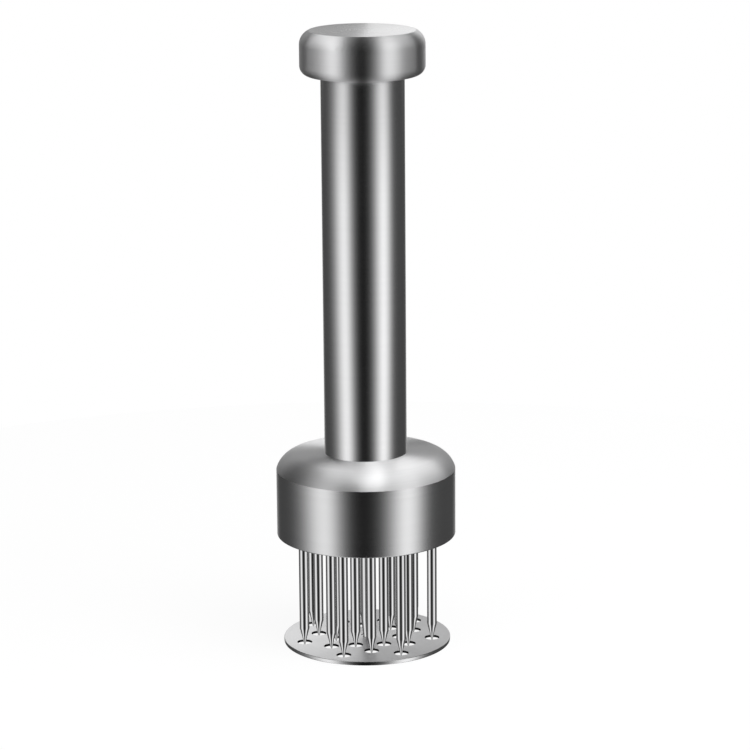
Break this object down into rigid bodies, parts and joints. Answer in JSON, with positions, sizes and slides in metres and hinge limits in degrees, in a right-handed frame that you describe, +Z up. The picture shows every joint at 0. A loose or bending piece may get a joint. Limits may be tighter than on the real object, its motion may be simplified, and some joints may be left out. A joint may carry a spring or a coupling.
{
  "type": "blade meat tenderizer",
  "caption": "Upright stainless meat tenderizer: knob cap, tube handle and bell housing over rings of pointed needles, with a sprung guard plate that slides up over them.",
  "frame": {"origin": "on the tool's axis, at the level of the guard plate's underside, on which the tool stands", "axes": "+Z up along the tool's axis towards the cap; the tool is round about it, and +Y points away from the picture's viewer"},
  "size_m": [0.055, 0.055, 0.19],
  "materials": {
    "brushed_steel": "fine brushing round the axis",
    "polished_steel": "polished needles and rod",
    "turned_steel": "plain turned",
    "spring_steel": "drawn wire",
    "nylon": "natural, satin"
  },
  "bodies": {
    "housing": {"cap_shell": "brushed_steel", "cap_base": "brushed_steel", "cap_core": "turned_steel", "cap_stud": "turned_steel", "tube_top_bush": "turned_steel", "spring_seat_washer": "turned_steel", "handle_tube": "brushed_steel", "bell_shell": "brushed_steel", "neck_bush": "turned_steel", "backing_plate": "turned_steel", "needle_carrier": "brushed_steel", "outer_needles": "polished_steel", "middle_needles": "polished_steel", "inner_needles": "polished_steel", "carrier_screws": "turned_steel", "guide_bush": "turned_steel", "buffer_washer": "nylon", "return_spring": "spring_steel"},
    "guard": {"guard_plate": "brushed_steel", "guard_rod": "polished_steel", "plate_screw": "turned_steel", "rod_collar": "turned_steel", "collar_pin": "polished_steel"}
  },
  "joints": [
    {"name": "guard_slide", "type": "slide", "parent": "housing", "child": "guard", "axis": [0, 0, 1], "range_m": [0, 0.032], "stiffness_N_per_m": 490, "springref_m": -0.02, "deforming": ["return_spring"]}
  ]
}
